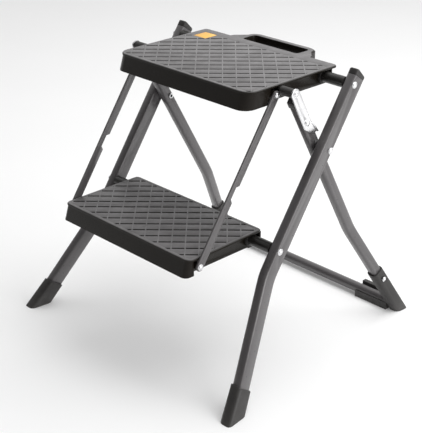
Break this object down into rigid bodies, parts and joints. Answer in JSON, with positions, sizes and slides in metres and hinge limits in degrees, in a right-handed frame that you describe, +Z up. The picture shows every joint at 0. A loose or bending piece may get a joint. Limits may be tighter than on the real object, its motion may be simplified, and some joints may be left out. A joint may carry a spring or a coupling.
{
  "type": "folding two-step step stool",
  "caption": "Folding step stool with two ribbed plastic treads on crossed steel tube legs, parallel side straps, hinge levers and a carry handle behind the top tread.",
  "frame": {"origin": "on the floor, under the middle of the opened stool", "axes": "+X to the right as seen by a person who stands in front of the stool and looks at it, +Y from the front of the stool to its back, +Z up"},
  "size_m": [0.5144, 0.4834, 0.4681],
  "materials": {
    "grey_powder_coat": "dark grey powder coat, fine texture",
    "black_tube": "black semi-gloss coated round tube",
    "step_plastic": "moulded black plastic with a satin tread",
    "foot_plastic": "dull black moulded plastic",
    "bright_zinc": "bright zinc plate",
    "amber_label": "plain printed film"
  },
  "bodies": {
    "front_frame": {"front_leg_left": "grey_powder_coat", "front_leg_right": "grey_powder_coat", "front_leg_cap_left": "foot_plastic", "front_leg_cap_right": "foot_plastic", "front_foot_left": "foot_plastic", "front_foot_right": "foot_plastic", "upper_cross_tube": "black_tube", "lower_cross_tube": "black_tube", "upper_tube_plug_left": "foot_plastic", "upper_tube_plug_right": "foot_plastic", "lower_tube_plug_left": "foot_plastic", "lower_tube_plug_right": "foot_plastic", "upper_tube_rivet_left": "bright_zinc", "upper_tube_rivet_right": "bright_zinc", "lower_tube_rivet_left": "bright_zinc", "lower_tube_rivet_right": "bright_zinc", "crossing_rivet_left": "bright_zinc", "crossing_rivet_right": "bright_zinc", "crossing_spacer_left": "foot_plastic", "crossing_spacer_right": "foot_plastic"},
    "rear_frame": {"rear_leg_left": "grey_powder_coat", "rear_leg_right": "grey_powder_coat", "saddle_plug_left": "foot_plastic", "saddle_plug_right": "foot_plastic", "rear_foot_left": "foot_plastic", "rear_foot_right": "foot_plastic", "rear_foot_rivet_left": "bright_zinc", "rear_foot_rivet_right": "bright_zinc", "rear_cross_bar": "grey_powder_coat"},
    "top_step": {"top_step": "step_plastic", "top_step_rod": "black_tube", "rod_sleeve_left": "foot_plastic", "rod_sleeve_right": "foot_plastic", "top_step_bush_left": "foot_plastic", "top_step_bush_right": "foot_plastic", "top_step_strap_rivet_left": "bright_zinc", "top_step_strap_rivet_right": "bright_zinc", "top_step_label": "amber_label"},
    "lower_step": {"lower_step": "step_plastic", "lower_step_bush_left": "foot_plastic", "lower_step_bush_right": "foot_plastic", "lower_step_strap_rivet_left": "bright_zinc", "lower_step_strap_rivet_right": "bright_zinc"},
    "strap_left": {"strap_left": "grey_powder_coat"},
    "strap_right": {"strap_right": "grey_powder_coat"},
    "lever_left": {"lever_left": "bright_zinc", "lever_rod_rivet_left": "bright_zinc", "lever_leg_rivet_left": "bright_zinc"},
    "lever_right": {"lever_right": "bright_zinc", "lever_rod_rivet_right": "bright_zinc", "lever_leg_rivet_right": "bright_zinc"}
  },
  "joints": [
    {"name": "rear_fold", "type": "hinge", "parent": "front_frame", "child": "rear_frame", "pos_m": [0, 0.03271, 0.35057], "axis": [-1, 0, 0], "range_deg": [0, 51]},
    {"name": "top_step_fold", "type": "hinge", "parent": "front_frame", "child": "top_step", "pos_m": [0, 0.08253, 0.445], "axis": [1, 0, 0], "range_deg": [0, 48.02]},
    {"name": "lower_step_fold", "type": "hinge", "parent": "front_frame", "child": "lower_step", "pos_m": [0, -0.07673, 0.215], "axis": [1, 0, 0], "range_deg": [0, 48.02]},
    {"name": "strap_left_swing", "type": "hinge", "parent": "top_step", "child": "strap_left", "pos_m": [0, -0.03997, 0.4455], "axis": [-1, 0, 0], "range_deg": [0, 48.02]},
    {"name": "lever_left_swing", "type": "hinge", "parent": "rear_frame", "child": "lever_left", "pos_m": [0, 0.00005, 0.39815], "axis": [1, 0, 0], "range_deg": [0, 153.65]},
    {"name": "strap_right_swing", "type": "hinge", "parent": "top_step", "child": "strap_right", "pos_m": [0, -0.03997, 0.4455], "axis": [-1, 0, 0], "range_deg": [0, 48.02]},
    {"name": "lever_right_swing", "type": "hinge", "parent": "rear_frame", "child": "lever_right", "pos_m": [0, 0.00005, 0.39815], "axis": [1, 0, 0], "range_deg": [0, 153.65]}
  ],
  "couplings": [
    {"joint": "top_step_fold", "follows": "rear_fold", "ratio": 0.94118},
    {"joint": "lower_step_fold", "follows": "rear_fold", "ratio": 0.94118},
    {"joint": "strap_left_swing", "follows": "rear_fold", "ratio": 0.94118},
    {"joint": "lever_left_swing", "follows": "rear_fold", "ratio": 3.0124},
    {"joint": "strap_right_swing", "follows": "rear_fold", "ratio": 0.94118},
    {"joint": "lever_right_swing", "follows": "rear_fold", "ratio": 3.0124}
  ]
}
